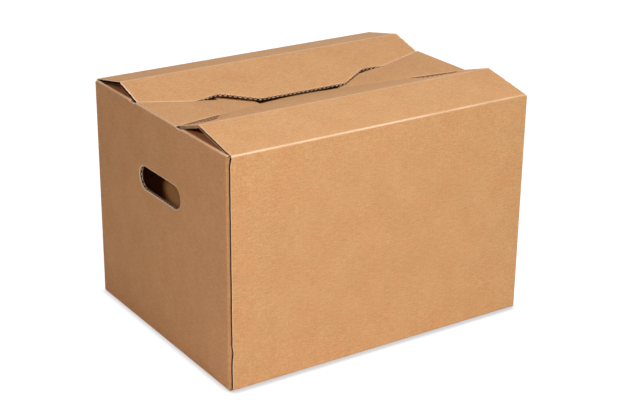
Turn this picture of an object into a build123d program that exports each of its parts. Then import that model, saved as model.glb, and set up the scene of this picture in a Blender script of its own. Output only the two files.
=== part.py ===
from build123d import *
import math
import os

# Archive box folded from one sheet of corrugated board, in millimetres.
# X runs along the length, -Y is the front, Z is up and the box stands on z = 0.
# The top flaps interlock over and under each other. The back flap lies on top and opens first.

# Overall size, outside, up to the rim of the walls
box_length = 420.0
box_width = 330.0
rim_height = 288.0

# Board and folds: two liners with open flutes between them at the cut edges
board = 4.0
liner = 0.6
flute_pitch = 7.5
flute_wall = 0.5
flute_foot = 5.2
flute_crown = 1.0
flute_depth = 6.0
end_flute_depth = 3.5
crease_crush = 9.0
fold_inside = 0.6
flap_end_gap = 0.5

# Front flap: an outer panel that rises to a ridge, then a slope that dips into a tongue
front_ridge_depth = 0.218 * box_width
front_ridge_rise = 15.0
front_slope_depth = 0.1456 * box_width
front_slope_drop = 15.0
tongue_reach = 0.215 * box_width
tongue_bend_radius = 400.0
tongue_edge_angle = 20.5

# Back flap: the same form, with a tab cut in its inner edge
back_ridge_depth = 0.194 * box_width
back_ridge_rise = 12.8
back_slope_depth = 0.136 * box_width
back_slope_angle = 16.4
tab_reach = 0.11 * box_width
tab_cut_half = 0.33 * box_length
tab_cut_reach = 0.0545 * box_width
tab_shoulder_half = 0.252 * box_length
tab_shoulder_reach = 0.0412 * box_width
tab_tip_half = 0.148 * box_length

# Hinge of the back flap: the crease at the back rim, parted by a fine gap
hinge_gap = 0.3

# End flaps: they slope down from the end rims, level with the back slope, and pass under the tab.
# A slit parts them from the front flap near the rim, and further in they pass under the tongue.
end_flap_reach = 0.357 * box_length
end_flap_bend_share = 0.5
end_flap_slit = 0.324 * box_length
end_flap_slit_gap = 1.5
end_flap_lap = 2.0
end_flap_tuck = 12.0
tuck_clearance = 1.2
seam_gap = 0.4

# Ears: triangles beside each end flap, folded in and hanging below the long flaps
ear_depth = 118.0
ear_droop = 12.0
ear_wall_gap = 22.0
rim_notch = 12.0

# Hand holes in the end walls
hand_hole_length = 102.0
hand_hole_height = 30.0
hand_hole_level = 198.0

# Glued joint at the front left corner
glue_lap = 35.0

# Bottom flaps: the end ones step up and lie glued on the long ones, which meet at the middle
bottom_seam = 2.0
bottom_step_start = 8.0
bottom_step_run = 8.0
bottom_flap_gap = 1.0
bottom_bend_radius = 5.0

# Sizes that follow from the ones above
half_length = box_length / 2
half_width = box_width / 2
fold_outside = board + fold_inside
inner_half_length = half_length - board
inner_half_width = half_width - board
flap_half = inner_half_length - flap_end_gap
end_wall_half = inner_half_width - flap_end_gap
wall_height = rim_height - 2 * fold_outside
front_ridge_y = -half_width + front_ridge_depth
front_wing_y = front_ridge_y + front_slope_depth
front_wing_level = rim_height + front_ridge_rise - front_slope_drop
back_ridge_y = half_width - back_ridge_depth
back_ridge_level = rim_height + back_ridge_rise
back_wing_y = back_ridge_y - back_slope_depth
tab_cut_y = back_wing_y - tab_cut_reach
tab_shoulder_y = back_wing_y - tab_shoulder_reach
tab_tip_y = back_wing_y - tab_reach
back_slope_fall = math.tan(math.radians(back_slope_angle))
tab_fall = (back_ridge_y - tab_tip_y) * back_slope_fall
tab_thickness = board / math.cos(math.radians(back_slope_angle))
tuck_drop = tab_fall - back_ridge_rise + tab_thickness + tuck_clearance
tongue_run = tab_tip_y - front_wing_y
tongue_drop = (front_wing_level - rim_height + tuck_drop) * tongue_reach / tongue_run
bottom_reach = half_width - bottom_seam / 2
bottom_step_end = bottom_step_start + bottom_step_run
flap_root = 4 * fold_outside
end_flap_tip = half_length - end_flap_reach
end_flap_sink = (back_ridge_y - tab_cut_y) * back_slope_fall - back_ridge_rise
end_flap_first_run = half_length - tab_cut_half
end_flap_last_run = tab_cut_half - end_flap_tip
end_flap_first_slope = math.atan2(end_flap_sink, end_flap_first_run)
end_flap_last_slope = math.atan2(tuck_drop - end_flap_sink, end_flap_last_run)
end_flap_bend = abs(end_flap_last_slope - end_flap_first_slope)
end_flap_bend_run = end_flap_bend_share * min(end_flap_first_run, end_flap_last_run)
end_flap_bend_radius = end_flap_bend_run / math.tan(end_flap_bend / 2)
ear_outer_y = half_width - ear_wall_gap


def tongue_edge_y(x):
    """Where the cut edge of the front tongue runs, at a distance x from the middle of the box."""
    return front_wing_y + (flap_half - x) * math.tan(math.radians(tongue_edge_angle))


def folded_strip(plane, face_points, radii, half_span):
    """A strip of board whose outer face follows the points, with a rounded fold at each."""
    with BuildPart() as strip:
        with BuildSketch(plane):
            with BuildLine() as outer_face:
                FilletPolyline(*face_points, radius=radii)
                offset(outer_face.line, amount=board, side=Side.LEFT)
            make_face()
        extrude(amount=half_span, both=True)
    return strip.part


def lid_outline(points):
    """A plan outline that runs through the whole height of the lid."""
    with BuildPart() as prism:
        with BuildSketch(Plane.XY.offset(rim_height / 2)):
            with BuildLine():
                Polyline(*points, close=True)
            make_face()
        extrude(amount=rim_height)
    return prism.part


def end_flutes(start, end):
    """The flute that lies open at each end of a long flap's panel, and is crushed shut at its folds."""
    across = math.dist(start, end)
    tilt = math.atan2(end[1] - start[1], end[0] - start[0])
    panel = Plane(
        origin=(0, (start[0] + end[0]) / 2, (start[1] + end[1]) / 2),
        x_dir=(1, 0, 0),
        z_dir=(0, -math.sin(tilt), math.cos(tilt)),
    )
    with BuildPart() as flutes:
        with BuildSketch(panel.offset(-liner)):
            with GridLocations(2 * flap_half, 0, 2, 1):
                Rectangle(2 * end_flute_depth, across - 2 * crease_crush)
        extrude(amount=2 * liner - board)
    return flutes.part


# Walls: a ring with rounded folds, opened at the front left corner where the board is joined.
# The front wall ends there in a raw edge, and the left wall turns in behind it as a glue lap.
with BuildPart() as walls:
    with BuildSketch(Plane.XY.offset(fold_outside)):
        RectangleRounded(box_length, box_width, fold_outside)
        RectangleRounded(2 * inner_half_length, 2 * inner_half_width, fold_inside, mode=Mode.SUBTRACT)
        with Locations((-half_length, -half_width)):
            Rectangle(glue_lap, glue_lap, align=Align.MIN, mode=Mode.SUBTRACT)
            Rectangle(glue_lap, board, align=Align.MIN)
        with Locations((-half_length, -half_width + liner)):
            Rectangle(end_flute_depth, board - 2 * liner, align=Align.MIN, mode=Mode.SUBTRACT)
        with BuildLine() as lap_face:
            FilletPolyline(
                (-half_length, -half_width + glue_lap),
                (-half_length, -half_width + board),
                (-half_length + glue_lap, -half_width + board),
                radius=fold_outside,
            )
            offset(lap_face.line, amount=board, side=Side.LEFT)
        make_face()
    extrude(amount=wall_height)

# Slots that free the long bottom flaps from the steps of the end ones
bottom_slot_width = bottom_step_end + bottom_flap_gap
with BuildPart() as bottom_slots:
    with BuildSketch(Plane.XY):
        with GridLocations(2 * (half_length - bottom_slot_width / 2), 0, 2, 1):
            Rectangle(bottom_slot_width, 2 * (half_width - fold_outside))
    extrude(amount=board + fold_inside)

# Front sheet: tongue, outer panel, wall and bottom flap in one strip
front_strip = folded_strip(
    Plane.YZ,
    [
        (front_wing_y + tongue_reach, front_wing_level - tongue_drop),
        (front_wing_y, front_wing_level),
        (front_ridge_y, rim_height + front_ridge_rise),
        (-half_width, rim_height),
        (-half_width, 0),
        (-bottom_seam / 2, 0),
    ],
    [tongue_bend_radius, fold_outside, fold_outside, fold_outside],
    flap_half,
)
tongue_side_cut = lid_outline(
    [
        (half_length, tongue_edge_y(half_length)),
        (half_length, tongue_edge_y(0)),
        (0, tongue_edge_y(0)),
    ]
)
with BuildPart() as front_sheet:
    add(front_strip)
    add(tongue_side_cut, mode=Mode.SUBTRACT)
    mirror(tongue_side_cut, about=Plane.YZ, mode=Mode.SUBTRACT)
    add(bottom_slots.part, mode=Mode.SUBTRACT)
    add(
        end_flutes((-half_width, rim_height), (front_ridge_y, rim_height + front_ridge_rise)),
        mode=Mode.SUBTRACT,
    )

# Back sheet: bottom flap, wall, outer panel and tab in one strip
back_strip = folded_strip(
    Plane.YZ,
    [
        (bottom_seam / 2, 0),
        (half_width, 0),
        (half_width, rim_height),
        (back_ridge_y, back_ridge_level),
        (tab_tip_y, back_ridge_level - tab_fall),
    ],
    fold_outside,
    flap_half,
)

# Hinge plane: through the outer edge of the back rim, halfway between the wall and the flap
flap_angle = math.atan2(back_ridge_rise, back_ridge_depth)
hinge_plane = Plane(
    origin=(0, half_width, rim_height),
    x_dir=(1, 0, 0),
    z_dir=(0, math.sin(flap_angle) - 1, math.cos(flap_angle)),
)
with BuildPart() as back_wall:
    add(back_strip)
    split(bisect_by=hinge_plane.offset(-hinge_gap / 2), keep=Keep.BOTTOM)
    add(bottom_slots.part, mode=Mode.SUBTRACT)

# Right end: wall and bottom flap, then the end flap and the two ears along its rim
end_wall = folded_strip(
    Plane.XZ,
    [
        (half_length - bottom_reach, board),
        (half_length - bottom_step_end, board),
        (half_length - bottom_step_start, 0),
        (half_length, 0),
        (half_length, rim_height - flap_root),
    ],
    [bottom_bend_radius, bottom_bend_radius, fold_outside],
    end_wall_half,
)
end_flap_strip = folded_strip(
    Plane.XZ,
    [
        (half_length, rim_height - flap_root),
        (half_length, rim_height),
        (tab_cut_half, rim_height - end_flap_sink),
        (end_flap_tip, rim_height - tuck_drop),
    ],
    [fold_outside, end_flap_bend_radius],
    end_wall_half,
)
end_flap_plan = lid_outline(
    [
        (half_length, tongue_edge_y(half_length) + end_flap_slit_gap),
        (half_length, back_wing_y - seam_gap),
        (flap_half, back_wing_y - seam_gap),
        (tab_cut_half, tab_cut_y - seam_gap),
        (tab_shoulder_half, tab_shoulder_y - seam_gap),
        (tab_shoulder_half, tab_shoulder_y + end_flap_tuck),
        (end_flap_tip, tab_tip_y + end_flap_tuck),
        (end_flap_tip, tongue_edge_y(end_flap_tip) - end_flap_tuck),
        (end_flap_slit, tongue_edge_y(end_flap_slit) - end_flap_lap),
        (end_flap_slit, tongue_edge_y(end_flap_slit) + end_flap_slit_gap),
    ]
)
with BuildPart() as end_flap:
    add(end_flap_strip)
    add(end_flap_plan, mode=Mode.INTERSECT)

ear_strip = folded_strip(
    Plane.XZ,
    [
        (half_length, rim_height - flap_root),
        (half_length, rim_height),
        (half_length - ear_depth, rim_height - ear_depth * math.tan(math.radians(ear_droop))),
    ],
    fold_outside,
    end_wall_half,
)
with BuildPart() as ear_plans:
    for side, notch_y in ((-1, front_wing_y - rim_notch), (1, back_wing_y + rim_notch)):
        add(
            lid_outline(
                [
                    (half_length, notch_y),
                    (half_length, side * end_wall_half),
                    (inner_half_length, side * end_wall_half),
                    (inner_half_length, side * ear_outer_y),
                    (half_length - ear_depth, side * ear_outer_y),
                    (inner_half_length, notch_y),
                ]
            )
        )
with BuildPart() as ears:
    add(ear_strip)
    add(ear_plans.part, mode=Mode.INTERSECT)

with BuildPart() as right_end:
    add(end_wall)
    add(end_flap.part)
    add(ears.part)

# Box body: the whole sheet apart from the back flap, with a hand hole through each end wall
with BuildPart() as box_body:
    add(walls.part)
    add(front_sheet.part)
    add(back_wall.part)
    add(right_end.part)
    mirror(right_end.part, about=Plane.YZ)
    with BuildSketch(Plane.YZ):
        with Locations((0, hand_hole_level)):
            SlotOverall(hand_hole_length, hand_hole_height)
    extrude(amount=box_length, both=True, mode=Mode.SUBTRACT)

# Back flap: outer panel, slope and tab, cut to its plan outline
tab_side = [
    (flap_half, half_width),
    (flap_half, back_wing_y),
    (tab_cut_half, tab_cut_y),
    (tab_shoulder_half, tab_shoulder_y),
    (tab_tip_half, tab_tip_y),
    (tab_tip_half, tab_tip_y - board),
]
tab_edge = tab_side[1:-1] + [(-x, y) for x, y in reversed(tab_side[1:-1])]

# Open flutes along the inner cut edge: the fluted layer stands between feet and crowns, turn about
slope = math.radians(back_slope_angle)
flute_plane = Plane(
    origin=(0, tab_tip_y, back_ridge_level - tab_fall),
    x_dir=(1, 0, 0),
    z_dir=(0, math.cos(slope), math.sin(slope)),
)
flute_count = 2 * int((flap_half - flute_pitch) / flute_pitch)
flute_top = [
    (-flute_foot / 2, liner),
    (flute_foot / 2, liner),
    (flute_crown / 2, board - liner - flute_wall),
    (-flute_crown / 2, board - liner - flute_wall),
]
flute_bottom = [(x, board - y) for x, y in reversed(flute_top)]
with BuildPart() as tab_flutes:
    with BuildSketch(flute_plane):
        with GridLocations(flute_pitch, 0, flute_count + 1, 1):
            Polygon(*flute_top, align=None)
        with GridLocations(flute_pitch, 0, flute_count, 1):
            Polygon(*flute_bottom, align=None)
    extrude(amount=2 * tab_reach, both=True)
    add(
        lid_outline(
            [(x, y - tab_reach) for x, y in tab_edge]
            + [(x, y + flute_depth) for x, y in reversed(tab_edge)]
        ),
        mode=Mode.INTERSECT,
    )

with BuildPart() as back_flap:
    add(back_strip)
    split(bisect_by=hinge_plane.offset(hinge_gap / 2), keep=Keep.TOP)
    add(lid_outline(tab_side + [(-x, y) for x, y in reversed(tab_side)]), mode=Mode.INTERSECT)
    add(tab_flutes.part, mode=Mode.SUBTRACT)
    add(
        end_flutes((back_ridge_y, back_ridge_level), (half_width, rim_height)),
        mode=Mode.SUBTRACT,
    )

# Finished pieces
box_body.part.label = "box_body"
back_flap.part.label = "back_flap"
os.makedirs("parts", exist_ok=True)
export_step(box_body.part, "parts/box_body.step")
export_step(back_flap.part, "parts/back_flap.step")
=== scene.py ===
# %% [markdown]
# # A closed archive box of corrugated board
# The real box is one sheet of board, cut, creased and folded up. Its walls, flaps and ears are built here as
# sheets with a thickness, two liners and a fluted layer that shows at the cut edges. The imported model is
# loaded first. It fixes where every panel is, and nothing in this script moves it.

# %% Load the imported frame
import cmath
import math

import bmesh
import bpy
from mathutils import Matrix, Vector, noise


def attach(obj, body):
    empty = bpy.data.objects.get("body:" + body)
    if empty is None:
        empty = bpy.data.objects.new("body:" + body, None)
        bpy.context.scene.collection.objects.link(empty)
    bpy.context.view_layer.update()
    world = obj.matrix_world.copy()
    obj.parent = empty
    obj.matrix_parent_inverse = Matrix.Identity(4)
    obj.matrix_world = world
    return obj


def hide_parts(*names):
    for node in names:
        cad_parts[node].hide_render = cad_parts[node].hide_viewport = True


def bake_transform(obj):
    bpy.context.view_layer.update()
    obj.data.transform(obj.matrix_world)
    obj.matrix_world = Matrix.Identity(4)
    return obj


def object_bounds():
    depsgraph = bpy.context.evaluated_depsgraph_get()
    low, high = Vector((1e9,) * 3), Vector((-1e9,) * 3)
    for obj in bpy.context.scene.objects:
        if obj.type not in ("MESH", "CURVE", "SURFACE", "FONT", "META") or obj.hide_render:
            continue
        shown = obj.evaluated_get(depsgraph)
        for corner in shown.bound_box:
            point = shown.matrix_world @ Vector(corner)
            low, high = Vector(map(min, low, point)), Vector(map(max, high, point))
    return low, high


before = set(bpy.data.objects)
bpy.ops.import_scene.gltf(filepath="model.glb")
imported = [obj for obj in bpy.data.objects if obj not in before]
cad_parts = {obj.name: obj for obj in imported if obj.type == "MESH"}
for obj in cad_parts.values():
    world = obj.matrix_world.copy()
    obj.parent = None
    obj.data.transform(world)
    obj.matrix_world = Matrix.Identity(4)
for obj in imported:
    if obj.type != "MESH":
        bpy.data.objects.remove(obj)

cad_low, cad_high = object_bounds()
print("frame box in metres:", [round(v, 4) for v in cad_high - cad_low])

# %% [markdown]
# ## Sizes
# Drawings of board are made in millimetres, so the sizes here are too, and points are turned into metres only
# when a mesh is made. The outside sizes come from the loaded frame, the flap sizes repeat the pattern that
# the box is cut to. The front ridge is set a hair lower than on the solid, so that its finer fold stays
# inside the solid's box.

# %% Sizes of the board and the box
mm = 0.001
half_length = cad_high.x / mm
half_width = cad_high.y / mm
rim = 288.0
board, liner, fold = 4.0, 0.42, 2.6
flute_pitch, paper_half = 6.2, 0.36
hole_level, hole_length, hole_height = 198.0, 102.0, 30.0
glue_lap, wall_part = 35.0, 40.0
wing_half = half_length - 4.5
flap_half, end_half = half_length - fold, half_width - 5.0
front_ridge, back_ridge = (-93.06, rim + 14.93), (100.98, rim + 12.8)
front_wing, tongue_tip, tongue_angle = (-45.0, rim), (26.0, rim - 18.0), math.radians(20.5)
back_wing_y, tab_tip = 56.1, (19.2, rim - 11.3)
tab_cut, slit_end, end_tip = (138.6, 38.1), 136.0, (60.0, rim - 16.6)
print("box", half_length * 2, "x", half_width * 2, "mm, rim at", rim, "mm")


# %% [markdown]
# ## A folded strip
# Seen from its end, a flap with its wall is a line that runs straight and turns at the creases. A path made
# of straight runs and arcs gives the outer face, and the board lies on its left. Complex numbers keep this
# short: multiplying by a unit number turns a direction.

# %% Paths with rounded folds
def folded_path(points, radii):
    """Runs of a path through the points, each as length, start, direction and bend."""
    stops = [complex(*p) for p in points]
    runs, here = [], stops[0]
    for before, corner, after, radius in zip(stops, stops[1:], stops[2:], radii):
        ahead = (corner - before) / abs(corner - before)
        leave = (after - corner) / abs(after - corner)
        turn = cmath.phase(leave / ahead)
        cut = radius * math.tan(abs(turn) / 2)
        runs.append((abs(corner - ahead * cut - here), here, ahead, 0.0))
        runs.append((radius * abs(turn), corner - ahead * cut, ahead, math.copysign(1 / radius, turn)))
        here = corner + leave * cut
    ahead = (stops[-1] - here) / abs(stops[-1] - here)
    return runs + [(abs(stops[-1] - here), here, ahead, 0.0)]


def on_path(runs, s):
    """Point, outward direction and thickness of the board at a distance along a path. A crease presses it thin."""
    for length, start, ahead, bend in runs:
        if s <= length:
            break
        s -= length
    else:
        s += length
    if not bend:
        return start + ahead * s, -1j * ahead, board
    turned = cmath.exp(1j * bend * s)
    return start + ahead * (turned - 1) / (1j * bend), -1j * ahead * turned, min(board, 1 / abs(bend) - 0.15)


def path_stops(runs):
    """Distances at which the runs of a path begin and end."""
    stops = [0.0]
    for run in runs:
        stops.append(stops[-1] + run[0])
    return stops


def reach(runs, place):
    """Distance along a path that leads away from the rim, at which it is that far from the middle."""
    low, high = 0.0, path_stops(runs)[-1]
    for _ in range(50):
        middle = (low + high) / 2
        low, high = (middle, high) if on_path(runs, middle)[0].real > place else (low, middle)
    return low


print("a fold of", fold, "mm radius turns in", round(fold * math.pi / 2, 1), "mm of board")


# %% [markdown]
# ## From the flat cut to a mesh
# Each panel is drawn flat, as an outline in the sheet: u runs along the crease and s away from it. The
# outline is filled, given a narrow border for the pressed edge, and cut into a grid, so that it can bend. A
# function then says where each point of the sheet lies in the box. Modelling flat and folding later is how
# the real box is made, and the flutes, which run along s everywhere, stay in line over the folds.

# %% Flat outlines
def flat_sheet(outline, holes, cuts_u, cuts_s, border):
    """A filled flat outline with a border along its edges, cut along the given lines."""
    sheet = bmesh.new()
    for ring in (outline, *holes):
        corners = [sheet.verts.new((u, s, 0.0)) for u, s in ring]
        for a, b in zip(corners, corners[1:] + corners[:1]):
            sheet.edges.new((a, b))
    bmesh.ops.triangle_fill(sheet, use_beauty=True, edges=sheet.edges[:], normal=(0, 0, 1))
    bmesh.ops.inset_region(sheet, faces=sheet.faces[:], thickness=border, use_boundary=True, use_even_offset=True)
    for axis, cuts in ((Vector((1, 0, 0)), cuts_u), (Vector((0, 1, 0)), cuts_s)):
        for at in cuts:
            everything = sheet.verts[:] + sheet.edges[:] + sheet.faces[:]
            bmesh.ops.bisect_plane(sheet, geom=everything, dist=0.01, plane_co=axis * at, plane_no=axis)
    for face in sheet.faces:
        face.normal_update()
        if face.normal.z < 0:
            face.normal_flip()
    sheet.verts.index_update()
    return sheet


def edge_inset(sheet):
    """For each border point, the direction into the sheet."""
    inward = {}
    for edge in sheet.edges:
        if len(edge.link_faces) == 1:
            loop = edge.link_loops[0]
            a, b = loop.vert, loop.link_loop_next.vert
            along = (b.co - a.co).normalized()
            for v in (a, b):
                inward.setdefault(v.index, []).append(Vector((-along.y, along.x)))
    return {i: sum(d, Vector((0, 0))) / max(0.35, 1 + d[0].dot(d[-1])) for i, d in inward.items()}


def spread(start, end, step):
    """Evenly spread numbers between two ends, no further apart than step."""
    count = max(1, math.ceil(abs(end - start) / step))
    return [start + (end - start) * i / count for i in range(1, count)]


def fold_cuts(runs, step):
    """Grid lines along a path: close together in its folds, and wider apart on its straight runs."""
    cuts = []
    for (length, _, _, bend), start in zip(runs, path_stops(runs)):
        if abs(bend) > 0.1:
            cuts += [start - 4, start - 1.8, start - 0.7, *spread(start, start + length, 0.4)]
            cuts += [start + length + near for near in (0.7, 1.8, 4)]
        cuts += [start, *spread(start, start + length, step)]
    return [at for at in cuts if 0 < at < path_stops(runs)[-1]]


print("a 400 mm panel gets", len(spread(0, 400, 16)), "grid lines")


# %% [markdown]
# ## The fluted layer
# Between the liners lies a waved paper. Where a cut crosses the flutes, its wave shows as a row of arches with dark
# gaps between them, and where a cut runs along the flutes there is one open channel. A waved ribbon of paper along
# each crossing cut gives the arches real depth, which a painted pattern would not, and its back is darkened with
# painted shade. At hand holes and at slanting cuts the ribbon starts further in, so that it lies deeper in the
# shade of the cut, which there is also darkened with painted shade.

# %% Waved ribbons along the cut edges
ribbon_start, shaded_start, ribbon_step = 0.05, 1.1, 0.5


def flute_ribbons(ring, surface, is_cut, depth_in, is_hole):
    """Points and faces of the waved layer along the cuts of a closed outline that cross the flutes."""
    points, faces, runs, travelled = [], [], [[]], 0.0
    area = sum(a[0] * b[1] - b[0] * a[1] for a, b in zip(ring, ring[1:] + ring[:1]))
    side = 1 if (area > 0) != is_hole else -1
    for a, b in zip(ring, ring[1:] + ring[:1]):
        du, ds = b[0] - a[0], b[1] - a[1]
        length = math.hypot(du, ds)
        along_flutes = abs(du) < 0.3 * length and not is_hole
        if along_flutes or not is_cut((a[0] + b[0]) / 2, (a[1] + b[1]) / 2):
            runs.append([])
            continue
        normal = (-ds / length * side, du / length * side)
        front = shaded_start if is_hole or abs(du) < 0.5 * length else ribbon_start
        count = max(2, math.ceil(length / ribbon_step))
        for i in range(count + 1):
            u, s = a[0] + du * i / count, a[1] + ds * i / count
            runs[-1].append((u, s, *normal, front, travelled + length * i / count))
        travelled += length
    wave = board / 2 - liner - paper_half
    for run in runs:
        first = len(points)
        for u, s, nu, ns, front, at in run:
            level = board / 2 + wave * math.cos(2 * math.pi * at / flute_pitch)
            back = depth_in(u, s, nu, ns) - 0.1
            section = ((front, -paper_half), (front, paper_half), (back, paper_half), (back, -paper_half))
            for inset, depth in section:
                points.append(surface(u + nu * inset, s + ns * inset, level + depth))
        for i in range(len(run) - 1):
            k = first + 4 * i
            faces += [(k + j, k + (j + 1) % 4, k + 4 + (j + 1) % 4, k + 4 + j) for j in range(4)]
        if len(run) > 1:
            k = first + 4 * (len(run) - 1)
            faces += [(first, first + 3, first + 2, first + 1), (k, k + 1, k + 2, k + 3)]
    return points, faces


print("flutes every", flute_pitch, "mm")

# %% [markdown]
# ## Kraft paper
# Unbleached kraft liner is tan, matte and a little uneven: soft clouds of tone, long fibres, a few dark specks and
# faint bars where the paper sinks between the flutes, painted partly as shade of that relief. Each effect is a node
# group with named sockets, so that the outer liner, the inner liner, the cut edge and the waved layer can all use
# it with their own values.


# %% Node helpers
def new_group(name, inputs, outputs):
    """An empty shader node group with named sockets, and its input and output nodes."""
    group = bpy.data.node_groups.new(name, "ShaderNodeTree")
    for socket, kind, value in inputs:
        made = group.interface.new_socket(socket, in_out="INPUT", socket_type=kind)
        if value is not None:
            made.default_value = value
    for socket, kind in outputs:
        group.interface.new_socket(socket, in_out="OUTPUT", socket_type=kind)
    return group, group.nodes.new("NodeGroupInput"), group.nodes.new("NodeGroupOutput")


def node(tree, kind, links=(), **values):
    """A node with its settings, and its inputs linked or filled by name or number."""
    made = tree.nodes.new(kind)
    for key, value in values.items():
        setattr(made, key, value)
    for key, value in dict(links).items():
        socket = made.inputs[key]
        if isinstance(value, bpy.types.NodeSocket):
            tree.links.new(value, socket)
        else:
            socket.default_value = value
    return made


def maths(tree, operation, *values):
    """The result of a Math node."""
    return node(tree, "ShaderNodeMath", dict(enumerate(values)), operation=operation).outputs[0]


def stretch(tree, value, low, high, out_low=0.0, out_high=1.0):
    """A value mapped from one range to another, clamped."""
    links = {"Value": value, "From Min": low, "From Max": high, "To Min": out_low, "To Max": out_high}
    return node(tree, "ShaderNodeMapRange", links).outputs["Result"]


def scaled(tree, vector, scale):
    """Coordinates scaled along each axis."""
    links = {0: vector, 1: scale}
    return node(tree, "ShaderNodeVectorMath", links, operation="MULTIPLY").outputs[0]


def clouds(tree, vector, scale, detail=4.0, roughness=0.6):
    """A noise texture's value."""
    links = {"Vector": vector, "Scale": scale, "Detail": detail, "Roughness": roughness}
    return node(tree, "ShaderNodeTexNoise", links).outputs["Fac"]


def tint(tree, mask, below, above, blend="MIX"):
    """Two colours mixed by a mask."""
    made = node(tree, "ShaderNodeMix", data_type="RGBA", blend_type=blend)
    for socket, value in ((made.inputs["Factor"], mask), (made.inputs["A"], below), (made.inputs["B"], above)):
        if isinstance(value, bpy.types.NodeSocket):
            tree.links.new(value, socket)
        else:
            socket.default_value = value
    return made.outputs["Result"]


print("helpers for node groups are ready")

# %% Fibres and clouds of tone
VECTOR, FLOAT = "NodeSocketVector", "NodeSocketFloat"
kraft_fibre, given, out = new_group(
    "kraft_fibre",
    [("Place", VECTOR, None), ("Sheet", VECTOR, None), ("Contrast", FLOAT, 1.0)],
    [("Tone", FLOAT), ("Hue", FLOAT), ("Speck", FLOAT), ("Relief", FLOAT)],
)
place, flat = given.outputs["Place"], given.outputs["Sheet"]
cloud = clouds(kraft_fibre, place, 24.0, 3.0, 0.55)
grain = clouds(kraft_fibre, place, 620.0, 4.0, 0.75)
fibres = clouds(kraft_fibre, scaled(kraft_fibre, flat, (95.0, 620.0, 1.0)), 1.0, 4.0, 0.7)
weights = ((cloud, 0.4), (grain, 2.2), (fibres, 1.3))
tone = 0.5
for layer, weight in weights:
    swing = maths(kraft_fibre, "MULTIPLY", maths(kraft_fibre, "SUBTRACT", layer, 0.5), weight)
    tone = maths(kraft_fibre, "ADD", maths(kraft_fibre, "MULTIPLY", swing, given.outputs["Contrast"]), tone)
kraft_fibre.links.new(tone, out.inputs["Tone"])
hue = stretch(kraft_fibre, clouds(kraft_fibre, place, 38.0, 3.0, 0.6), 0.4, 0.62)
kraft_fibre.links.new(hue, out.inputs["Hue"])
speck = stretch(kraft_fibre, clouds(kraft_fibre, place, 760.0, 2.0, 0.5), 0.68, 0.78)
kraft_fibre.links.new(speck, out.inputs["Speck"])
kraft_fibre.links.new(maths(kraft_fibre, "ADD", grain, fibres), out.inputs["Relief"])
print("group kraft_fibre with", len(kraft_fibre.nodes), "nodes")

# %% [markdown]
# The liner is glued to the crowns of the waved layer and sinks a hair between them. The bars this makes are partly
# tone and partly painted shade of that relief. They follow the sheet and not the room, so they read the flat sheet
# coordinates stored on each point.

# %% Bars over the flutes
flute_bars, given, out = new_group(
    "flute_bars",
    [("Sheet", VECTOR, None), ("Pitch", FLOAT, flute_pitch * mm)],
    [("Bar", FLOAT), ("Streak", FLOAT)],
)
parts = node(flute_bars, "ShaderNodeSeparateXYZ", {0: given.outputs["Sheet"]})
turns = maths(flute_bars, "DIVIDE", parts.outputs["X"], given.outputs["Pitch"])
bar = maths(flute_bars, "COSINE", maths(flute_bars, "MULTIPLY", turns, 2 * math.pi))
uneven = clouds(flute_bars, scaled(flute_bars, given.outputs["Sheet"], (60.0, 9.0, 1.0)), 1.0, 3.0)
flute_bars.links.new(maths(flute_bars, "MULTIPLY", bar, uneven), out.inputs["Bar"])
streak = clouds(flute_bars, scaled(flute_bars, given.outputs["Sheet"], (14.0, 260.0, 1.0)), 1.0, 4.0, 0.65)
flute_bars.links.new(streak, out.inputs["Streak"])
print("group flute_bars with", len(flute_bars.nodes), "nodes")

# %% [markdown]
# At a fold the outer liner is stretched and rubbed pale, and the same pale fold mark also stands for a painted
# highlight along the rim and the ridges. Along a cut edge the liner frays. Both are marked on the mesh as numbers,
# 0 where the paper is whole, and the group breaks those marks up so that they don't look like drawn lines.

# %% Worn folds and edges, with painted highlights on the folds
wear_and_highlight_marks, given, out = new_group(
    "wear_and_highlight_marks",
    [("Place", VECTOR, None), ("Mark", FLOAT, 0.0), ("Breakup", FLOAT, 0.6)],
    [("Mask", FLOAT)],
)
rough = clouds(wear_and_highlight_marks, given.outputs["Place"], 240.0, 5.0, 0.7)
broken = maths(wear_and_highlight_marks, "MULTIPLY", maths(wear_and_highlight_marks, "SUBTRACT", rough, 0.5), given.outputs["Breakup"])
wear_highlight_mask = maths(wear_and_highlight_marks, "ADD", given.outputs["Mark"], maths(wear_and_highlight_marks, "MULTIPLY", broken, given.outputs["Mark"]))
wear_and_highlight_marks.links.new(stretch(wear_and_highlight_marks, wear_highlight_mask, 0.15, 0.95), out.inputs["Mask"])
print("group wear_and_highlight_marks with", len(wear_and_highlight_marks.nodes), "nodes")


# %% [markdown]
# ## Four finishes of the same paper
# All four come from one function. It mixes a dark and a light tone by the fibres, the streaks and the bars, then
# adds specks, pale marks of rubbed liner and of painted highlight, and the painted shade of the hollows, and lifts
# the fibres a little with a bump.

# %% The kraft finish
# painted_shade_brown is painted shade: the hollow mark mixes it into recesses of the cut edges.
painted_shade_brown, hue_swing = (0.035, 0.011, 0.003, 1.0), (1.0, 0.955, 0.94, 1.0)
fibre_height = 0.0004


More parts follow.
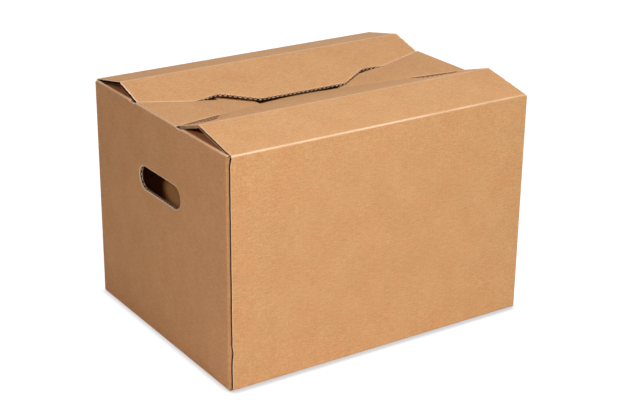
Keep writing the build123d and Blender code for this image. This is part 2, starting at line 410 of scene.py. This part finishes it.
def kraft(name, dark, light, pale, contrast, bars, edge_shade, bump, gloss=0.22):
    """A kraft paper finish from the shared groups."""
    material = bpy.data.materials.new(name)
    material.use_nodes = True
    tree = material.node_tree
    shader = tree.nodes["Principled BSDF"]
    place = node(tree, "ShaderNodeTexCoord").outputs["Object"]
    sheet = node(tree, "ShaderNodeAttribute", attribute_name="sheet").outputs["Vector"]
    crease = node(tree, "ShaderNodeAttribute", attribute_name="crease").outputs["Fac"]
    edge = node(tree, "ShaderNodeAttribute", attribute_name="edge").outputs["Fac"]
    hollow = node(tree, "ShaderNodeAttribute", attribute_name="hollow").outputs["Fac"]
    fibre = node(tree, "ShaderNodeGroup", node_tree=kraft_fibre)
    tree.links.new(place, fibre.inputs["Place"])
    tree.links.new(sheet, fibre.inputs["Sheet"])
    fibre.inputs["Contrast"].default_value = contrast
    flutes = node(tree, "ShaderNodeGroup", node_tree=flute_bars)
    tree.links.new(sheet, flutes.inputs["Sheet"])
    flutes.inputs["Pitch"].default_value = flute_pitch * mm
    marks = []
    for mark in (crease, edge):
        wear_highlight_mask = node(tree, "ShaderNodeGroup", node_tree=wear_and_highlight_marks)
        tree.links.new(place, wear_highlight_mask.inputs["Place"])
        tree.links.new(mark, wear_highlight_mask.inputs["Mark"])
        marks.append(wear_highlight_mask.outputs["Mask"])
    streaks = maths(tree, "MULTIPLY", maths(tree, "SUBTRACT", flutes.outputs["Streak"], 0.5), bars)
    # The bars darken the colour a little: partly tone, partly painted shade of the washboard relief.
    bar_tone_and_shade = maths(tree, "MULTIPLY", flutes.outputs["Bar"], bars * 0.16)
    tone = maths(tree, "ADD", maths(tree, "ADD", fibre.outputs["Tone"], streaks), bar_tone_and_shade)
    colour = tint(tree, stretch(tree, tone, 0.0, 1.0), dark, light)
    colour = tint(tree, fibre.outputs["Hue"], colour, hue_swing, "MULTIPLY")
    colour = tint(tree, maths(tree, "MULTIPLY", fibre.outputs["Speck"], 0.35), colour, dark)
    # The crease mark: pale rubbed liner at the folds, and on the rim and the ridges also a painted highlight.
    colour = tint(tree, maths(tree, "MULTIPLY", marks[0], 0.7), colour, pale)
    colour = tint(tree, maths(tree, "MULTIPLY", marks[1], edge_shade), colour, pale)
    # Painted shade: the hollow mark darkens the recesses of a cut towards a deep brown.
    colour = tint(tree, hollow, colour, painted_shade_brown)
    tree.links.new(colour, shader.inputs["Base Color"])
    tree.links.new(stretch(tree, fibre.outputs["Relief"], 0.6, 1.4, 0.78, 0.94), shader.inputs["Roughness"])
    shader.inputs["Specular IOR Level"].default_value = gloss
    height = maths(tree, "ADD", fibre.outputs["Relief"], maths(tree, "MULTIPLY", flutes.outputs["Bar"], 0.5))
    links = {"Height": height, "Strength": bump, "Distance": fibre_height}
    tree.links.new(node(tree, "ShaderNodeBump", links).outputs["Normal"], shader.inputs["Normal"])
    return material


print("a hollow is painted", painted_shade_brown[:3])

# %% [markdown]
# The outer liner is what the eye sees. The inner liner is a little warmer. The cut edge shows pale liner ends,
# partly frayed paper and partly painted light, with a dark hollow behind them that is partly painted shade, and the
# waved layer is thinner, rougher paper, paler than the liners: partly its own lighter paper, partly painted light
# where the cut keeps light off. The torn fibres of the last two have no gloss.

# %% Four kraft materials
outer_liner = kraft(
    "outer_liner", (0.53, 0.268, 0.111, 1), (0.72, 0.405, 0.19, 1), (0.97, 0.8, 0.6, 1),
    contrast=1.15, bars=0.18, edge_shade=0.3, bump=0.3)
inner_liner = kraft(
    "inner_liner", (0.61, 0.309, 0.114, 1), (0.8, 0.435, 0.179, 1), (0.87, 0.56, 0.29, 1),
    contrast=1.2, bars=0.3, edge_shade=0.3, bump=0.35)
# The pale liner ends at the cut are partly frayed paper and partly painted light.
cut_edge = kraft(
    "cut_edge", (0.46, 0.27, 0.14, 1), (0.7, 0.46, 0.27, 1), (0.88, 0.66, 0.45, 1),
    contrast=1.4, bars=0.3, edge_shade=0.8, bump=0.5, gloss=0.0)
# Paler than the liners: partly lighter paper, partly painted light that keeps the arches bright in the shade of the
# cut.
waved_layer = kraft(
    "waved_layer", (0.74, 0.5, 0.3, 1), (0.96, 0.74, 0.52, 1), (0.96, 0.76, 0.55, 1),
    contrast=1.3, bars=0.2, edge_shade=0.4, bump=0.4, gloss=0.0)
board_finishes = [outer_liner, inner_liner, cut_edge, waved_layer]
print("finishes:", [m.name for m in board_finishes])


# %% [markdown]
# ## Making a piece of board
# A mesh is a list of points and a list of faces, so both are collected first. Each point keeps its place in the
# flat sheet and two marks from 0 to 1 for the finishes: edge, where the liner frays, and hollow, which paints shade
# where the board lies deep in a cut. Each face keeps the number of its finish.

# %% Points, marks and faces
OUTER, INNER, CUT, WAVED = range(len(board_finishes))


class BoardMesh:
    """Points of a piece of board with their place in the sheet and their marks, and faces with their finish."""

    def __init__(self):
        self.points, self.where, self.edge, self.hollow, self.faces = [], [], [], [], []

    def add_points(self, points, where, edge, hollow):
        """Adds points and gives the number of the first one."""
        first = len(self.points)
        self.points += points
        self.where += where
        self.edge += edge
        self.hollow += hollow
        return first

    def add_faces(self, faces, finish):
        """Adds faces of one finish."""
        self.faces += [(face, finish) for face in faces]


print("finish of a cut:", board_finishes[CUT].name)

# %% [markdown]
# At a cut edge the wall between the liners is set back, which leaves the liners standing as thin lips with a
# hollow between. The cutting rule presses the board a little, so the liners dip at the cut. Where a piece
# goes on into the next one, its edge stays plain, and a small cap closes the hollow where the two kinds of
# edge meet.

# %% Lips and walls of the edges
hollow_deep, hole_hollow, channel_deep = 4.0, 1.6, 1.4
pressed, mouth_in, mouth_press = 0.3, 0.5, 0.1


def in_rings(rings, u, s, slack=0.1):
    """Whether a point of the sheet lies in the box round one of the rings."""
    for ring in rings:
        along, away = zip(*ring)
        if min(along) - slack < u < max(along) + slack and min(away) - slack < s < max(away) + slack:
            return True
    return False


def edge_lips(made, flat, inset, press, surface, depth_in, painted_hollow_shade):
    """The six points of the two lips at each border point, from the outer liner inwards and back out."""
    lips = {}
    for i, (du, ds) in inset.items():
        u, s = flat[i]
        back = depth_in(u, s, du, ds)
        mouth = (u + du * mouth_in, s + ds * mouth_in)
        far = (u + du * back, s + ds * back)
        ends = [(u, s, liner + press[i]), (*mouth, liner + mouth_press), (*far, liner)]
        ends += [(a, b, board - depth) for a, b, depth in reversed(ends)]
        # The hollow mark paints shade into the recess of the cut, and onto the inner lip where a full channel is
        # open.
        dark, inner_lip_shade = painted_hollow_shade(u, s, back)
        made.hollow[i + len(flat)] = inner_lip_shade
        lips[i] = made.add_points(
            [surface(*end) for end in ends],
            [end[:2] for end in ends],
            [1.0, 0.0, 0.0, 0.0, 0.0, 1.0],
            [0.0, 0.92 * dark, dark, dark, 0.92 * dark, inner_lip_shade],
        )
    return lips


def edge_walls(made, sheet, flat, lips, is_cut):
    """Faces round the border: over the lips at a cut, straight across where the board goes on, and the caps."""
    kinds = {}
    for side in sheet.edges:
        if len(side.link_faces) != 1:
            continue
        loop = side.link_loops[0]
        a, b = loop.vert.index, loop.link_loop_next.vert.index
        open_edge = is_cut((flat[a][0] + flat[b][0]) / 2, (flat[a][1] + flat[b][1]) / 2)
        for i in (a, b):
            kinds.setdefault(i, set()).add(open_edge)
        steps = range(6) if open_edge else (0, 5)
        left, right = ([i, *[lips[i] + k for k in steps], i + len(flat)] for i in (a, b))
        made.add_faces([list(corners) for corners in zip(right, left, left[1:], right[1:])], CUT)
    made.add_faces([[lips[i] + k for k in range(6)] for i, kind in kinds.items() if len(kind) == 2], CUT)


print("a cut is hollow for", hollow_deep, "mm, a hand hole's for", hole_hollow, "mm")

# %% [markdown]
# The collected lists then become one Blender object. Its marks are stored on the points as attributes, which
# the finishes read by name. Folds are smooth and only true edges stay sharp.

# %% From lists to an object
def dressed_piece(name, made, crease, body):
    """An object from collected points and faces, with its marks, finishes and body."""
    mesh = bpy.data.meshes.new(name)
    mesh.from_pydata(made.points, [], [face for face, _ in made.faces])
    mesh.polygons.foreach_set("material_index", [finish for _, finish in made.faces])
    marks = {"edge": made.edge, "hollow": made.hollow}
    marks["crease"] = [crease(u, s) if crease else 0.0 for u, s in made.where]
    for key, values in marks.items():
        mesh.attributes.new(key, "FLOAT", "POINT").data.foreach_set("value", values)
    place = mesh.attributes.new("sheet", "FLOAT_VECTOR", "POINT")
    place.data.foreach_set("vector", [x * mm for u, s in made.where for x in (u, s, 0.0)])
    for finish in board_finishes:
        mesh.materials.append(finish)
    turned = bmesh.new()
    turned.from_mesh(mesh)
    bmesh.ops.recalc_face_normals(turned, faces=turned.faces[:])
    turned.to_mesh(mesh)
    turned.free()
    mesh.polygons.foreach_set("use_smooth", [True] * len(mesh.polygons))
    mesh.set_sharp_from_angle(angle=math.radians(32))
    piece = bpy.data.objects.new(name, mesh)
    bpy.context.scene.collection.objects.link(piece)
    if body:
        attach(piece, body)
    print(name, "has", len(mesh.polygons), "faces")
    return piece


# %% [markdown]
# A piece of board is then its two liners, placed a board's thickness apart, its edges, and the waved ribbons
# along its cuts. How deep a cut is hollow depends on how it runs: deep across the flutes, as deep as one
# channel along them, and less at the hand holes.

# %% A piece of board
def board_piece(name, outline, surface, cuts_u, cuts_s, body, holes=(), goes_on=None, crease=None, border=2.2,
                channel=lambda s: channel_deep):
    """A piece of corrugated board that rides on a body of the frame."""
    def is_cut(u, s):
        return not (goes_on and goes_on(u, s))

    def depth_in(u, s, du, ds):
        """How deep the cut edge is hollow, at a point of the border with the direction into the sheet."""
        if in_rings(holes, u, s):
            return hole_hollow
        return channel(s) if abs(du) > 0.9 * math.hypot(du, ds) else hollow_deep

    def painted_hollow_shade(u, s, back):
        """The painted shade of the hollow, darkest at hand holes, and of the inner lip, which lies in shade where a
        full channel is open.
        """
        dark = 0.9 if in_rings(holes, u, s) else back / hollow_deep
        return dark, 0.8 if back == channel(s) == hollow_deep else 0.0

    sheet = flat_sheet(outline, holes, cuts_u, cuts_s, border)
    inset = edge_inset(sheet)
    flat = [(v.co.x, v.co.y) for v in sheet.verts]
    cut = {i for i in inset if is_cut(*flat[i])}
    press = [pressed if i in cut else 0.0 for i in range(len(flat))]
    frayed = [1.0 if i in cut else 0.0 for i in range(len(flat))]
    made = BoardMesh()
    for finish, depths, turn in ((OUTER, press, 1), (INNER, [board - p for p in press], -1)):
        placed = [surface(u, s, depth) for (u, s), depth in zip(flat, depths)]
        first = made.add_points(placed, flat, frayed, [0.0] * len(flat))
        made.add_faces([[v.index + first for v in face.verts][::turn] for face in sheet.faces], finish)
    lips = edge_lips(made, flat, inset, press, surface, depth_in, painted_hollow_shade)
    edge_walls(made, sheet, flat, lips, is_cut)
    for ring in (outline, *holes):
        wave, strips = flute_ribbons(ring, surface, is_cut, depth_in, ring is not outline)
        plain = [0.0] * len(wave)
        # The hollow marks 0, 0, 1, 1 paint shade onto the back of each ribbon.
        first = made.add_points(wave, [(0.0, 0.0)] * len(wave), plain, [0.0, 0.0, 1.0, 1.0] * (len(wave) // 4))
        made.add_faces([[first + k for k in strip] for strip in strips], WAVED)
    sheet.free()
    return dressed_piece(name, made, crease, body)


# %% [markdown]
# Folds and frayed edges are pale, and at the folds this is partly rubbed liner and partly a painted highlight.
# Small functions of the place in the sheet say how near a point is to such a line, and each piece gets one as its
# crease mark.

# %% Marks on the sheet
def near(distance, width):
    """1 on a line and 0 far from it."""
    return math.exp(-((distance / width) ** 2))


def ramp(value, low, high):
    """0 before one end, 1 past the other, and smooth between them."""
    t = min(1.0, max(0.0, (value - low) / (high - low)))
    return t * t * (3 - 2 * t)


def fold_mark(runs, strengths=(1.0, 1.0, 1.0), width=1.7):
    """How near a point of the sheet is to a fold of its path, from 0 to the fold's own strength."""
    stops = path_stops(runs)
    middles = [(a + b) / 2 for a, b, run in zip(stops, stops[1:], runs) if abs(run[3]) > 0.1]
    return lambda u, s: max(k * near(s - m, width) for k, m in zip(strengths, middles))


print("a mark 1.7 mm wide has faded to", round(near(1.7, 1.7), 2), "at that distance")

# %% [markdown]
# ## Walls
# The four walls are one strip wrapped round the box. It starts at the front left corner with a raw edge, goes
# round, and ends as a glue lap behind that edge. Board panels are never quite flat, so each wall is bowed in
# by a fraction of a millimetre.

# %% The wall strip
lap_back, lap_fold, bow_in, raw_run = -half_width + board + 0.8, 4.4, 0.7, 20.0
wall_runs = folded_path(
    [
        (-half_length, -half_width),
        (half_length, -half_width),
        (half_length, half_width),
        (-half_length, half_width),
        (-half_length, lap_back),
        (-half_length + glue_lap, lap_back),
    ],
    [fold, fold, fold, lap_fold],
)
wall_stops = path_stops(wall_runs)
long_low, end_low, wall_high = 4.55, 1.2, rim - fold


def raw_edge(z):
    """How far the raw edge of the front wall stands back at a height: its wobble, one dent and a notched top."""
    long_wave = noise.noise(Vector((0.0, 3.1, z * 0.055)))
    short_wave = noise.noise(Vector((5.0, 0.0, z * 0.3)))
    wobble = 1.8 + 0.4 * long_wave + 0.2 * short_wave
    return max(0.0, wobble) + 1.5 * math.exp(-(((z - 50.0) / 5.0) ** 2)) + 1.7 * ramp(z, rim - 11, rim - 5)


def wall_surface(u, s, depth):
    """Places the walls: u round the box, s up."""
    point, normal, thick = on_path(wall_runs, u)
    bow = 0.0
    for start, end in zip(wall_stops[0::2], wall_stops[1::2]):
        if start < u < end and end - start > 100:
            bow = math.sin(math.pi * (u - start) / (end - start)) * math.sin(math.pi * s / rim)
    point -= normal * (depth * thick / board + bow_in * bow)
    if u < raw_run:
        point += raw_edge(s) * (1 - max(0.0, u) / raw_run) ** 2
    return Vector((point.real, point.imag, s)) * mm


print("the wall strip is", round(wall_stops[-1]), "mm long")

# %% [markdown]
# Each end wall has an oval hand hole. The liner frays round it, which shows as a pale ring.

# %% Hand holes and walls
hole_radius, hole_straight = hole_height / 2, (hole_length - hole_height) / 2


def oval(middle, steps=10):
    """Outline of a hand hole in the sheet."""
    ring = []
    for side, first in ((1, -90), (-1, 90)):
        for i in range(steps + 1):
            a = math.radians(first + 180 * i / steps)
            across = middle + side * hole_straight + hole_radius * math.cos(a)
            ring.append((across, hole_level + hole_radius * math.sin(a)))
    return ring


right_middle = (wall_stops[2] + wall_stops[3]) / 2
left_middle = wall_stops[6] + half_width - fold
rim_start = wall_part - fold
wall_end = wall_stops[-1]
fold_lines = [0.0]
for a, b in zip(wall_stops[1::2], wall_stops[2::2]):
    fold_lines += [a - 4, a - 1.8, a - 0.7, a, *spread(a, b, 0.5), b, b + 0.7, b + 1.8, b + 4]


def hole_mark(u, s):
    """The pale, frayed liner round the hand holes."""
    past = [max(0.0, abs(u - middle) - hole_straight) for middle in (right_middle, left_middle)]
    return max(1.6 * near(math.hypot(along, s - hole_level) - hole_radius, 0.9) for along in past)


walls = board_piece(
    "walls",
    list(zip(wall_stops, (long_low, long_low, end_low, end_low) * 2 + (long_low, long_low)))
    + [(wall_end, wall_high), (0.0, wall_high)],
    wall_surface,
    spread(0.0, wall_end, 22.0) + fold_lines + [6.0, 12.0],
    spread(0.0, wall_high, 5.0),
    "box",
    holes=[oval(right_middle), oval(left_middle)],
    goes_on=lambda u, s: s < long_low + 0.01 or s > wall_high - 0.01,
    crease=hole_mark,
    border=1.3,
    channel=lambda s: hollow_deep,
)
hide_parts("box_body")

# %% [markdown]
# ## Front flap
# The front flap rises to a ridge, then slopes down into a tongue with slanting sides. It is one strip with the
# wall, so the rim fold and the ridge come from the same path. Beside each slit the flap is pressed down a little,
# which lays the end flap's cut edge open. The pale rim is partly rubbed liner and partly a painted highlight,
# uneven and weaker towards the right end.

# %% Path and marks of the front flap
front_runs = folded_path(
    [tongue_tip, front_wing, front_ridge, (-half_width, rim), (-half_width, rim - wall_part)], [400.0, fold, fold])
front_end = path_stops(front_runs)[-1] - rim_start
dip_deep = 4.2


def tongue_edge(x):
    """Where the slanting side of the tongue runs, at a distance x from the middle."""
    return front_wing[0] + (wing_half - abs(x)) * math.tan(tongue_angle)


def slit_dip(x, y):
    """How far the front flap is pressed down beside the slit at each end flap."""
    beside = ramp(abs(x), slit_end, slit_end + 10) * ramp(-abs(x), -204, -186)
    return -dip_deep * beside * ramp(y, tongue_edge(x) - 32, tongue_edge(x) - 4)


def front_mark(u, s):
    """Pale folds, partly rubbed liner and partly painted highlight, and the pale line where the tongue meets an end
    flap past the slit.
    """
    y = on_path(front_runs, s)[0].real
    joined = near(y - tongue_edge(u), 1.3) if abs(u) < slit_end else 0.0
    # Painted highlight and wear along the rim: uneven, and weaker towards the right end.
    rim_rub_and_highlight = (0.72 + 0.5 * noise.noise(Vector((u * 0.02, 4.0, 0.0)))) * (1 - 0.4 * ramp(u, 40, 200))
    return max(0.8 * joined, fold_mark(front_runs, (0.5, rim_rub_and_highlight), 1.5)(u, s))


print("the front flap's strip is", round(front_end), "mm wide")

# %% [markdown]
# The knife leaves the ends of both long flaps a little ragged, so one function places them both.

# %% Front flap
def long_surface(runs, warp=None):
    """Places a long flap: u along the box, s along its path. The cut at its ends is a little ragged."""
    def surface(u, s, depth):
        ragged = 0.7 + 0.9 * noise.noise(Vector((0.0, u * 0.01, s * 0.16)))
        ragged += 0.5 * noise.noise(Vector((7.0, 0.0, s * 0.45)))
        u -= math.copysign(max(0.0, ragged) * ramp(abs(u), flap_half - 9, flap_half), u)
        point, normal, thick = on_path(runs, s)
        point += normal * ((warp(u, point.real) if warp else 0.0) - depth * thick / board)
        return Vector((u, point.real, point.imag)) * mm
    return surface


tip_half = wing_half - (tongue_tip[0] - front_wing[0]) / math.tan(tongue_angle)
front_outline = [
    (-tip_half, 0.0),
    (tip_half, 0.0),
    (flap_half, reach(front_runs, front_wing[0])),
    (flap_half, front_end),
    (-flap_half, front_end),
    (-flap_half, reach(front_runs, front_wing[0])),
]
dip_lines = [side * (slit_end + at) for side in (-1, 1) for at in (0, 2.5, 5, 7.5, 10, 50, 56, 62, 68)]
board_piece(
    "front_flap",
    front_outline,
    long_surface(front_runs, slit_dip),
    spread(-flap_half, flap_half, 20.0) + dip_lines,
    fold_cuts(front_runs, 3.0),
    "box",
    goes_on=lambda u, s: s > front_end - 0.01 or 40 < abs(u) < slit_end,
    crease=front_mark,
    channel=lambda s: 0.6 if s < path_stops(front_runs)[3] else 2.4,
)

# %% [markdown]
# ## Back flap
# The back flap lies on top and opens first. Its inner edge is cut to a tab with sloping shoulders, and the
# cut shows the flutes. It rides on the moving body.

# %% Back flap
back_runs = folded_path([(half_width, rim - wall_part), (half_width, rim), back_ridge, tab_tip], [fold, fold])
crease_start, crease_end = rim_start, path_stops(back_runs)[2]
tab_plan = [
    (-flap_half, back_wing_y),
    (-tab_cut[0], tab_cut[1]),
    (-124.0, 40.4),
    (-112.0, 43.2),
    (-104.0, 43.6),
    (-96.0, 41.2),
    (-57.0, 20.2),
    (67.5, tab_tip[0]),
    (106.5, 40.0),
    (116.0, 41.2),
    (128.0, 40.4),
    tab_cut,
    (flap_half, back_wing_y),
]


def seam(x):
    """Where the back flap meets an end flap outside the tab."""
    return tab_cut[1] + (abs(x) - tab_cut[0]) * (back_wing_y - tab_cut[1]) / (flap_half - tab_cut[0])


def back_mark(u, s):
    """Pale folds, partly rubbed liner and partly painted highlight, frayed ends, and the pale line where the back
    flap meets an end flap.
    """
    joined = near(on_path(back_runs, s)[0].real - seam(u), 1.3) if abs(u) > tab_cut[0] else 0.0
    frayed = near(flap_half - abs(u), 1.4)
    return max(0.42 * joined, 0.9 * frayed, fold_mark(back_runs, (0.6, 0.5))(u, s))


back_flap = board_piece(
    "back_flap_board",
    [(x, reach(back_runs, y)) for x, y in reversed(tab_plan)] + [(-flap_half, crease_end), (flap_half, crease_end)],
    long_surface(back_runs),
    spread(-flap_half, flap_half, 20.0) + [side * (flap_half - at) for side in (-1, 1) for at in (3, 6, 9)],
    fold_cuts(back_runs, 2.0),
    "flap",
    goes_on=lambda u, s: s < crease_end + 0.01,
    crease=back_mark,
    channel=lambda s: hollow_deep,
)
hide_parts("back_flap")

# %% [markdown]
# The crease itself bends, so a short strip of board, pressed thin as a crease is, is blended between the wall
# and the flap.

# %% Crease of the back flap
def crease_surface(u, s, depth):
    """The back crease, where the board is pressed thin between its ends."""
    share = (s - crease_start) / (crease_end - crease_start)
    thin = 1 - 0.6 * math.sin(math.pi * min(1.0, max(0.0, share)))
    point, normal, _ = on_path(back_runs, s)
    point -= normal * depth * thin
    return Vector((u, point.real, point.imag)) * mm


back_crease = board_piece(
    "back_crease",
    [(-flap_half, crease_start), (flap_half, crease_start), (flap_half, crease_end), (-flap_half, crease_end)],
    crease_surface,
    spread(-flap_half, flap_half, 30.0),
    spread(crease_start, crease_end, 0.4),
    None,
    goes_on=lambda u, s: True,
    crease=fold_mark(back_runs),
    border=0.3,
)
first, last = (on_path(back_runs, s)[0] for s in (crease_start, crease_end))
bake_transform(back_crease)

# %% [markdown]
# ## End flaps
# Each end flap slopes down from its rim, level with the back flap's slope, and its point is tucked under the
# tab and the tongue. Near the rim a slit parts it from the front flap, which is pressed down there, so its
# cut edge shows.

# %% End flaps
end_runs = folded_path(
    [(half_length, rim - wall_part), (half_length, rim), (tab_cut[0], rim - 5.9), end_tip], [fold, 1000.0])


def end_surface(runs, side):
    """Places an end flap or an ear: u across the box, s along its path."""
    def surface(u, s, depth):
        point, normal, thick = on_path(runs, s)
        point -= normal * depth * thick / board
        return Vector((side * point.real, u, point.imag)) * mm
    return surface


end_plan = [
    (half_length, tongue_edge(half_length) + 0.3),
    (slit_end, tongue_edge(slit_end) + 0.3),
    (slit_end - 1.0, tongue_edge(slit_end) - 1.5),
    (end_tip[0], tongue_edge(end_tip[0]) - 8.0),
    (end_tip[0], 31.0),
    (104.0, 54.0),
    (105.0, 39.9),
    (116.0, 41.0),
    (128.0, 40.2),
    (tab_cut[0], tab_cut[1] - 0.1),
    (wing_half, seam(wing_half) - 0.1),
    (half_length, seam(wing_half) - 0.1),
]


def on_end(runs, x, y):
    """The place in the sheet of a plan point on an end flap. Points at the rim go down to the wall."""
    return (y, rim_start if x > half_length - 0.01 else reach(runs, x))


for side, name in ((-1, "left"), (1, "right")):
    board_piece(
        f"{name}_end_flap",
        [on_end(end_runs, x, y) for x, y in end_plan],
        end_surface(end_runs, side),
        spread(-60.0, 60.0, 12.0),
        fold_cuts(end_runs, 12.0),
        "box",
        goes_on=lambda u, s: s < rim_start + 0.01,
        crease=fold_mark(end_runs, (0.5,)),
    )

# %% [markdown]
# ## Ears
# Beside each end flap a triangle of board is folded in and hangs below the long flaps. It closes the corner,
# and it is the brown slope seen through the openings under the flap ends.

# %% Ears
ear_tip, ear_side, ear_turn = 92.0, 143.0, 206.0
ear_drop = 118.0 * math.tan(math.radians(12.0))
ear_runs = folded_path(
    [(half_length, rim - wall_part), (half_length, rim), (ear_tip, rim - ear_drop)], [fold])
for side, name in ((-1, "left"), (1, "right")):
    for end, notch, label in ((-1, -57.0, "front"), (1, 68.1, "back")):
        plan = [(half_length, notch), (ear_turn, notch), (ear_tip, end * ear_side), (ear_turn, end * ear_side)]
        plan += [(ear_turn, end * end_half), (half_length, end * end_half)]
        board_piece(
            f"{name}_{label}_ear",
            [on_end(ear_runs, x, y) for x, y in plan],
            end_surface(ear_runs, side),
            spread(-160.0, 160.0, 16.0),
            fold_cuts(ear_runs, 16.0),
            "box",
            goes_on=lambda u, s: s < rim_start + 0.01,
            crease=fold_mark(ear_runs, (0.5,)),
            border=1.2,
        )

# %% [markdown]
# ## Bottom flaps
# The long bottom flaps meet at the middle. The end ones step up over them and are glued down inside. They
# matter from below, and through the hand holes.

# %% Bottom flaps
def bottom_surface(runs, side, is_long):
    """Places a bottom flap: u along its crease, s along its path."""
    def surface(u, s, depth):
        point, normal, thick = on_path(runs, s)
        point += normal * depth * thick / board
        across = side * point.real
        return Vector((u, across, point.imag) if is_long else (across, u, point.imag)) * mm
    return surface


bottom_half = 193.0
for side, name in ((-1, "front"), (1, "back")):
    runs = folded_path(
        [(half_width, wall_part), (half_width, 2.2), (half_width - 22.0, 0.0), (1.0, 0.0)], [fold, 30.0])
    stops = path_stops(runs)
    board_piece(
        f"{name}_bottom_flap",
        [
            (-flap_half, stops[1]),
            (flap_half, stops[1]),
            (flap_half, stops[2]),
            (bottom_half, stops[2]),
            (bottom_half, stops[-1]),
            (-bottom_half, stops[-1]),
            (-bottom_half, stops[2]),
            (-flap_half, stops[2]),
        ],
        bottom_surface(runs, side, True),
        spread(-flap_half, flap_half, 30.0),
        fold_cuts(runs, 30.0),
        "box",
        goes_on=lambda u, s, low=stops[1]: s < low + 0.01,
        border=1.2,
    )

for side, name in ((-1, "left"), (1, "right")):
    runs = folded_path(
        [(half_length, wall_part), (half_length, 0.0), (202.0, 0.0), (194.0, board), (half_length - 164.0, board)],
        [end_low, 5.0, 5.0])
    stops = path_stops(runs)
    board_piece(
        f"{name}_bottom_flap",
        [(-end_half, stops[1]), (end_half, stops[1]), (end_half, stops[-1]), (-end_half, stops[-1])],
        bottom_surface(runs, side, False),
        spread(-end_half, end_half, 30.0),
        fold_cuts(runs, 30.0),
        "box",
        goes_on=lambda u, s, low=stops[1]: s < low + 0.01,
    )

# %% [markdown]
# ## Floor, light and camera
# A white floor runs out past the picture, and for the camera it glows evenly, as in a studio shot that is lit
# up to white. Only a narrow shadow is left where the box touches it, which an Ambient Occlusion node gives. A
# wide panel above and one in front light the box softly. A small lamp at the left falls through the hand hole
# onto the inside of the front wall. Two weak fills light the right and the back for other views, and a white
# backdrop, seen by the camera and in reflections, gives the far slopes their sheen. The camera stands where
# the photographer stood.

# %% Floor
floor_half, floor_level = 8, -0.0004
corners = [(x * floor_half, y * floor_half, floor_level) for x, y in ((-1, -1), (1, -1), (1, 1), (-1, 1))]
floor_mesh = bpy.data.meshes.new("floor")
floor_mesh.from_pydata(corners, [], [(0, 1, 2, 3)])
floor = bpy.data.objects.new("floor", floor_mesh)
bpy.context.scene.collection.objects.link(floor)
floor_paint = bpy.data.materials.new("floor_paint")
floor_paint.use_nodes = True
paint = floor_paint.node_tree
paint_shader = paint.nodes["Principled BSDF"]
seen = node(paint, "ShaderNodeLightPath").outputs["Is Camera Ray"]
floor_tone = tint(paint, seen, (0.88, 0.88, 0.88, 1.0), (0.12, 0.12, 0.12, 1.0))
paint.links.new(floor_tone, paint_shader.inputs["Base Color"])
paint_shader.inputs["Emission Color"].default_value = (1.0, 1.0, 1.0, 1.0)
openness = node(paint, "ShaderNodeAmbientOcclusion", {"Distance": 0.011}, samples=16).outputs["AO"]
glow = stretch(paint, openness, 0.5, 0.95, 0.6, 1.02)
paint.links.new(maths(paint, "MULTIPLY", seen, glow), paint_shader.inputs["Emission Strength"])
paint_shader.inputs["Roughness"].default_value = 0.9
paint_shader.inputs["Specular IOR Level"].default_value = 0.0
floor_mesh.materials.append(floor_paint)
print("floor at z", floor_mesh.vertices[0].co.z)


# %% Lights
def soft_panel(name, place, target, size, power, colour):
    """A round area light that points at a target."""
    light = bpy.data.lights.new(name, "AREA")
    light.shape = "DISK"
    light.size = size
    light.energy = power
    light.color = colour
    lamp = bpy.data.objects.new(name, light)
    lamp.location = place
    lamp.visible_camera = False
    lamp.rotation_euler = (Vector(target) - Vector(place)).to_track_quat("-Z", "Y").to_euler()
    bpy.context.scene.collection.objects.link(lamp)
    return lamp


middle = (0.0, 0.0, 0.15)
fill_colour = (1.0, 0.96, 0.9)
soft_panel("top_panel", (0.0, -0.8, 1.9), middle, 1.2, 27.0, (1.0, 1.05, 1.12))
soft_panel("front_panel", (0.2, -2.1, 0.7), middle, 1.2, 6.4, (1.0, 1.06, 0.74))
soft_panel("left_lamp", (-1.33, -1.37, 1.13), middle, 0.12, 15.2, (1.0, 0.84, 0.79))
soft_panel("right_fill", (1.7, 0.3, 0.3), middle, 1.0, 5.5, fill_colour)
soft_panel("back_fill", (1.3, 1.7, 0.3), middle, 1.0, 11.0, fill_colour)
sky = bpy.data.worlds.new("sky")
sky.use_nodes = True
backdrop = sky.node_tree.nodes["Background"]
rays = node(sky.node_tree, "ShaderNodeLightPath").outputs
sheen = maths(sky.node_tree, "MULTIPLY", rays["Is Glossy Ray"], 0.85)
white = maths(sky.node_tree, "MAXIMUM", rays["Is Camera Ray"], sheen)
backdrop.inputs["Color"].default_value = (1.0, 1.0, 1.0, 1.0)
sky.node_tree.links.new(stretch(sky.node_tree, white, 0.0, 1.0, 0.033, 1.05), backdrop.inputs["Strength"])
bpy.context.scene.world = sky
bpy.context.scene.view_settings.view_transform = "Standard"

# %% Camera
lens = bpy.data.cameras.new("camera")
lens.sensor_width = 36.0
lens.lens = 86.676
camera = bpy.data.objects.new("camera", lens)
across = Vector((0.83624, -0.5483, 0.00864))
upward = Vector((0.20029, 0.32005, 0.92599))
backward = across.cross(upward)
turned = Matrix((across, upward, backward)).transposed().to_4x4()
camera.matrix_world = Matrix.Translation((-0.96935, -1.47762, 0.84635)) @ turned
bpy.context.scene.collection.objects.link(camera)
bpy.context.scene.camera = camera
print("camera at", [round(v, 3) for v in camera.location])
